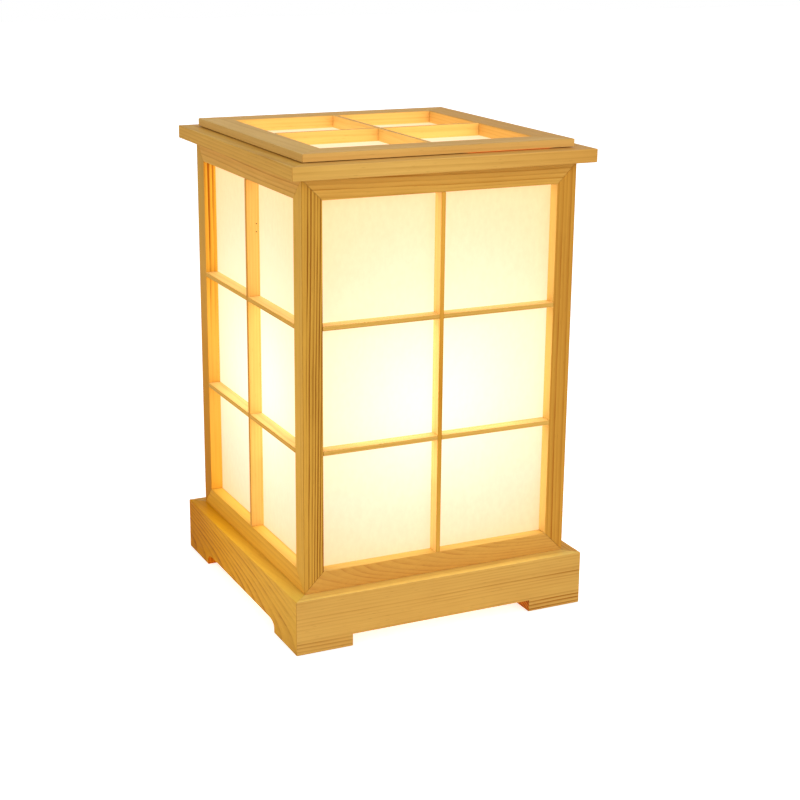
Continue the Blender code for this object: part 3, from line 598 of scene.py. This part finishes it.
def glow_lamp(name, size, level, place, turn, body, colour="FFFFFF"):
    """A lamp of one opening's size and a given brightness, for the light that comes through it."""
    lamp = bpy.data.objects.new(name, bpy.data.lights.new(name, "AREA"))
    lamp.data.shape = "RECTANGLE"
    lamp.data.size, lamp.data.size_y = size
    lamp.data.energy = level * math.pi * size[0] * size[1]
    lamp.data.color = linear(colour)[:3]
    lamp.location = place
    lamp.rotation_euler = turn
    lamp.visible_camera = False
    lamp.visible_glossy = False
    bpy.context.scene.collection.objects.link(lamp)
    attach(lamp, body)


screen_paper = lit_paper("screen_paper", 88.7)
paper_low, paper_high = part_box("front_paper")
screen_size = [paper_high[i] - paper_low[i] - 2 * OPENING_EDGE for i in (0, 2)]
screen_middle = (paper_high[2] + paper_low[2]) / 2
screen_front = -paper_low[1] + 0.15 * MM
SPOT_SIZE = (120 * MM, 110 * MM)
SPOT_FORWARD = 0.1 * MM
SCREEN_LEVELS = {"front": (1.65, 0.9), "right": (1.3, 0.6), "rear": (1.3, 0.6), "left": (1.3, 0.6)}
for number, side in enumerate(SIDES):
    wear(side + "_paper", screen_paper)
    turn = number * math.pi / 2
    tilt = (-math.pi / 2, 0, turn)
    forward = np.array([math.sin(turn), -math.cos(turn), 0])
    whole, spot = SCREEN_LEVELS[side]
    cool = "E8F2FF" if side == "front" else "F2F7FF"
    place = forward * screen_front + (0, 0, screen_middle)
    glow_lamp(side + "_glow", screen_size, whole, place, tilt, "lamp", cool)
    place = forward * (screen_front + SPOT_FORWARD) + GLOW_CENTRE
    glow_lamp(side + "_spot", SPOT_SIZE, spot, place, tilt, "lamp", cool)

# Pins
# Two fine panel pins in the near face of the left upright bar, driven flush: only their dark heads show.
PIN_RADIUS = 0.4
PIN_PROUD = 0.08
PIN_DEPTH = 1.0
PIN_ROUNDING = 0.06
PIN_FROM_PAPER = 2.1
PIN_HEIGHTS = (263.0, 268.5)
bar_low, bar_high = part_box("left_bar_upright")
pin_iron = sheet_metal("pin_iron", "5A3E20", "3E2A14", 0.5)
pin_corners = [(0, PIN_PROUD), (PIN_RADIUS, PIN_PROUD), (PIN_RADIUS, -PIN_DEPTH), (0, -PIN_DEPTH)]
pin_points, pin_faces = turned(rounded(pin_corners, PIN_ROUNDING))
pin_points = pin_points[:, [0, 2, 1]] * (1, -1, 1)
for number, height in enumerate(PIN_HEIGHTS):
    pin_place = (bar_high[0] / MM - PIN_FROM_PAPER, bar_low[1] / MM, height)
    piece(f"left_bar_pin_{number + 1}", pin_points + pin_place, pin_faces, pin_iron, "lamp")

# Cap
# Four wider pine boards, mitred like a picture frame, that overhang the lantern and carry the lid.
# Their outer edges are eased by hand.
# The Z tints paint the cap's top face paler than its sides, as painted light from above; the front board's X
# tint makes it darker towards its ends.
wear_pine("cap_board_front", "x", (0, 10, -60), lean=(0, 0.3, 0), ring=3.0, lines=0.35, seed=0.2,
          pale="F3C36C",
          tints=[("X", [(-105, "F4F0E4"), (-45, "FFFFFF"), (0, "FDFAF4"), (105, "F0E2D0")]),
                 ("Z", [(321.2, "F3EFE2"), (322.1, "FFFFFF")])])
wear_pine("cap_board_left", "y", (8, 0, -56), lean=(0.6, 0, 0), ring=2.2, lines=0.55, seed=0.6, pale="E4B453",
          tints=[("Z", [(321.2, "FCF4EB"), (322.1, "FFFFFF")])])
wear_pine("cap_board_right", "y", (-8, 0, -50), lean=(0.6, 0, 0), ring=2.6, lines=0.5, seed=0.3)
wear_pine("cap_board_rear", "x", (0, -10, 50), lean=(0, 0.6, 0), lines=0.6, seed=0.8)

# Lid
# A mitred frame of four rebated pine rails and a cross of two bars over one sheet of the shade paper.
# It drops into the cap's opening and lifts off by hand; some light gets out under its lip.
LID_PINE = {"dark": "B27A2C", "ring": 2.6, "lines": 0.28}
wear_pine("lid_rail_front", "x", (0, 12, -50), lean=(0, 0.4, 0), seed=0.45, pale="E6B664", **LID_PINE)
wear_pine("lid_rail_left", "y", (14, 0, -46), lean=(0.4, 0, 0), seed=0.75, pale="E6BA66", **LID_PINE)
wear_pine("lid_rail_right", "y", (-20, 0, -40), lean=(0.6, 0, 0), seed=0.15, pale="DCA650", **LID_PINE)
wear_pine("lid_rail_rear", "x", (0, -18, -44), lean=(0, 0.5, 0), seed=0.95, pale="E6B25C", **LID_PINE)
wear_pine("lid_bar_across", "x", (0, 40, 12), ring=1.9, lines=0.3, seed=0.3, pale="EAB860")
wear_pine("lid_bar_deep", "y", (40, 0, 12), ring=1.9, lines=0.3, seed=0.6, pale="EAB860")
wear("lid_paper", lit_paper("lid_paper_lit", 112.0))
lid_low, lid_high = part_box("lid_paper")
lid_size = [lid_high[i] - lid_low[i] - 2 * OPENING_EDGE for i in (0, 1)]
SLIT_SIZE = (62 * MM, 0.4 * MM)
SLIT_PLACE = (50 * MM, -92.5 * MM, 322.55 * MM)
glow_lamp("slit_glow", SLIT_SIZE, 5.6, SLIT_PLACE, (-math.pi / 2, 0, 0), "lid", "FF8C1C")
glow_lamp("lid_glow", lid_size, 1.25, (0, 0, lid_high[2] + 0.15 * MM), (math.pi, 0, 0), "lid", "F0F5FF")

# Bulb
# A pear-shaped frosted glass bulb on a rolled screw cap of bright aluminium, with a black glass insulator
# and a brass contact. The frosted glass glows, dimmer and warmer towards its neck.
GLASS = 1.0
GLOBE = 30.0
NECK = 12.1
TAPER_FROM = math.radians(114)
cap_low, cap_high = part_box("bulb_cap")


def globe_side(globe, neck, middle, neck_end):
    """Half a globe's outline, from its top to a taper at a tangent and a straight neck."""
    turn = np.linspace(0, TAPER_FROM, 40)
    arc = np.column_stack([globe * np.sin(turn), middle + globe * np.cos(turn)])
    run = (neck - arc[-1, 0]) / math.cos(TAPER_FROM)
    taper_end = arc[-1, 1] - run * math.sin(TAPER_FROM)
    bend = np.array([[neck, taper_end + 1.5], [neck, taper_end - 1.5], [neck, neck_end]])
    bend[0, 0] += 1.5 / math.tan(TAPER_FROM - math.pi / 2)
    return np.concatenate([arc, bend])


def frosted_glass():
    """Lit frosted glass: a glow that is warm at the neck and nearly white at the top.

    It passes most of the light on and returns little, so its own colour is a dull grey.
    """
    made, tree, shader = new_material("frosted_glass")
    spot = add(tree, "TexCoord").outputs["Object"]
    top = bulb_high[2] / MM
    stops = [(bulb_low[2] / MM, "C98A3C"), (top - 67, "FFD694"), (top - GLOBE, "FFE6B4"), (top, "FFFCEE")]
    colour = along_axis(tree, spot, "Z", stops)
    tree.links.new(colour, shader.inputs["Emission Color"])
    shader.inputs["Emission Strength"].default_value = 0.85
    frost = noise(tree, spot, (0.4, 0.4, 0.4)).outputs["Fac"]
    tree.links.new(ramp(tree, frost, [(0.3, "6A665C"), (0.7, "625E56")]), shader.inputs["Base Color"])
    shader.inputs["Roughness"].default_value = 0.45
    return made


def black_glass():
    """Black glass: a clear gloss over near black, with faint flow lines."""
    made, tree, shader = new_material("black_glass")
    spot = add(tree, "TexCoord").outputs["Object"]
    flow = noise(tree, spot, (3, 3, 1)).outputs["Fac"]
    tree.links.new(ramp(tree, flow, [(0.3, "0E0D10"), (0.8, "1D1A1E")]), shader.inputs["Base Color"])
    shader.inputs["Roughness"].default_value = 0.12
    shader.inputs["IOR"].default_value = 1.6
    return made


globe_middle = bulb_high[2] / MM - GLOBE
outside = globe_side(GLOBE, NECK, globe_middle, bulb_low[2] / MM)
inside = globe_side(GLOBE - GLASS, NECK - GLASS, globe_middle, bulb_low[2] / MM)
globe_profile = np.concatenate([outside, inside[::-1]])
piece("bulb_globe_frosted", *turned(globe_profile), frosted_glass(), "bulb", ["bulb_globe"])

CAP_SHEET = 0.4
CAP_SIDE = 12.85
CAP_THREAD = 0.55
CAP_MOUTH = 7.9
CAP_TAPER = 4.0
cap_up = np.linspace(cap_low[2] / MM, cap_high[2] / MM, 130)
cap_side = np.minimum(CAP_SIDE, CAP_MOUTH + (CAP_SIDE - CAP_MOUTH) * (cap_up - cap_up[0]) / CAP_TAPER)
cap_heights = np.concatenate([cap_up, cap_up[::-1]])
cap_radii = np.concatenate([cap_side - CAP_SHEET, cap_side[::-1]])
aluminium = sheet_metal("rolled_aluminium", "D9D6CF", "B4B0A8", 0.25)
cap_swell = thread(cap_heights, cap_up[0] + CAP_TAPER, cap_up[-1] - 3, CAP_THREAD)
cap_points, cap_faces = turned(np.column_stack([cap_radii, cap_heights]), swell=cap_swell)
piece("bulb_cap_threaded", cap_points, cap_faces, aluminium, "bulb", ["bulb_cap"])
wear("bulb_insulator", black_glass())
wear("bulb_contact", brass)

# Studio
# A plain white floor and surroundings, soft light from all round, brightest near the horizon, one soft lamp
# from the front right, a small low one by the left side, and a weak one under the base, for the warm light
# that falls on the ends of the notches.
scene = bpy.context.scene
scene.view_settings.view_transform = "Standard"

world = bpy.data.worlds.new("studio")
scene.world = world
world.use_nodes = True
tree = world.node_tree
tree.nodes.clear()
path = add(tree, "LightPath").outputs
seen = path["Is Camera Ray"]
for kind in ("Is Glossy Ray", "Is Transmission Ray"):
    seen = add(tree, "Math", {0: seen, 1: path[kind]}, operation="MAXIMUM").outputs["Value"]
upward = add(tree, "SeparateXYZ", {"Vector": add(tree, "TexCoord").outputs["Generated"]}).outputs["Z"]
soft = add(tree, "MapRange", {"Value": upward, "To Min": 1.1, "To Max": 0.35}).outputs["Result"]
level = add(tree, "Mix", {0: seen, 2: soft, 3: 1.0}, data_type="FLOAT").outputs[0]
sky = add(tree, "Background", {"Color": linear("FFFFFF"), "Strength": level})
add(tree, "OutputWorld", {"Surface": sky.outputs["Background"]})

FLOOR_HALF = 6.0
ends = np.array([-FLOOR_HALF, FLOOR_HALF])
floor_x, floor_y = np.meshgrid(ends, ends)
floor_points = np.stack([floor_x, floor_y, np.full((2, 2), -0.2 * MM)], -1).reshape(-1, 3)
floor_mesh = bpy.data.meshes.new("floor")
floor_mesh.from_pydata(floor_points.tolist(), [], [(0, 1, 3, 2)])
floor = bpy.data.objects.new("floor", floor_mesh)
scene.collection.objects.link(floor)
floor_white, tree, shader = new_material("floor_white")
shader.inputs["Base Color"].default_value = linear("F4F4F4")
shader.inputs["Roughness"].default_value = 0.9
shader.inputs["Emission Color"].default_value = linear("FFFFFF")
camera_ray = add(tree, "LightPath").outputs["Is Camera Ray"]
lift = add(tree, "Math", {0: camera_ray, 1: 0.65}, operation="MULTIPLY").outputs["Value"]
tree.links.new(lift, shader.inputs["Emission Strength"])
floor_mesh.materials.append(floor_white)

key = bpy.data.objects.new("key_lamp", bpy.data.lights.new("key_lamp", "SUN"))
key.data.energy = 0.85
key.data.angle = math.radians(40)
key.rotation_euler = (math.radians(66), 0, math.radians(18))
scene.collection.objects.link(key)

fill = bpy.data.objects.new("fill_lamp", bpy.data.lights.new("fill_lamp", "AREA"))
fill.data.size = 120 * MM
fill.data.energy = 0.075
fill.data.color = linear("FFE8C8")[:3]
fill.location = (-300 * MM, -40 * MM, 120 * MM)
fill.rotation_euler = (0, -math.pi / 2, 0)
fill.visible_camera = False
fill.visible_glossy = False
scene.collection.objects.link(fill)

under = bpy.data.objects.new("under_lamp", bpy.data.lights.new("under_lamp", "POINT"))
under.data.energy = 0.34
under.data.color = linear("FFF2C8")[:3]
under.data.shadow_soft_size = 10 * MM
under.location = (0, 0, 14 * MM)
under.visible_camera = False
under.visible_glossy = False
scene.collection.objects.link(under)

camera = bpy.data.objects.new("camera", bpy.data.cameras.new("camera"))
camera.location = (-479.17 * MM, -1029.57 * MM, 472.25 * MM)
camera.rotation_euler = (math.radians(73.4016), math.radians(-0.5335), math.radians(-25.6017))
camera.data.lens = 74.258
camera.data.sensor_width = 36.0
scene.collection.objects.link(camera)
scene.camera = camera
